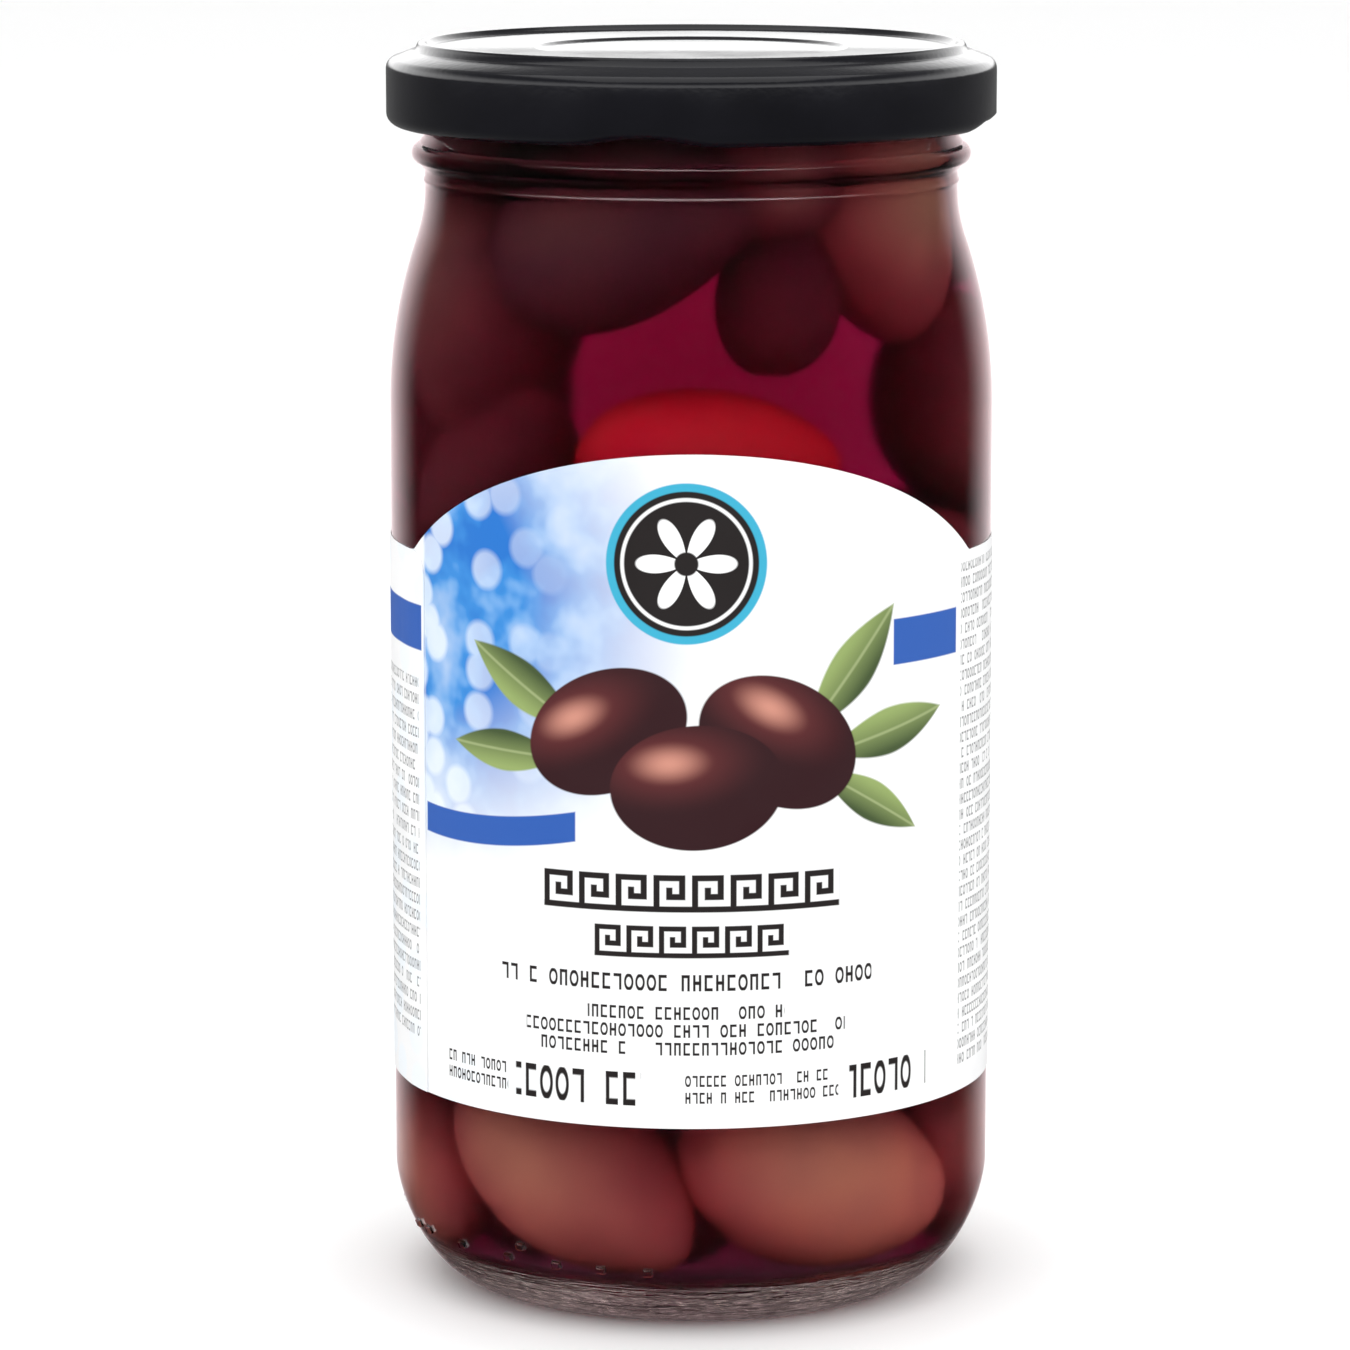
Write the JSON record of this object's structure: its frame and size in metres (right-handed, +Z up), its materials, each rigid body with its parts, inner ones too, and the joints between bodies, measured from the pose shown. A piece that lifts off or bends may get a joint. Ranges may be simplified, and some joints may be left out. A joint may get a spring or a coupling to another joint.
{
  "type": "jar of olives",
  "caption": "Shut glass jar with a black twist-off lid and a wrap-around paper label, filled with dark olives in brine.",
  "frame": {"origin": "middle of the foot the jar stands on", "axes": "+Z up along the jar's axis, the front of the label faces -Y, +X to the right of the front"},
  "size_m": [0.0686, 0.0686, 0.1407],
  "materials": {
    "clear_glass": "clear",
    "black_enamel": "gloss enamel",
    "label_paper": "coated paper",
    "olive_skin": "wet skin"
  },
  "bodies": {
    "root": {"glass_jar": "clear_glass", "lid": "black_enamel", "label": "label_paper", "olives": "olive_skin"}
  },
  "joints": []
}
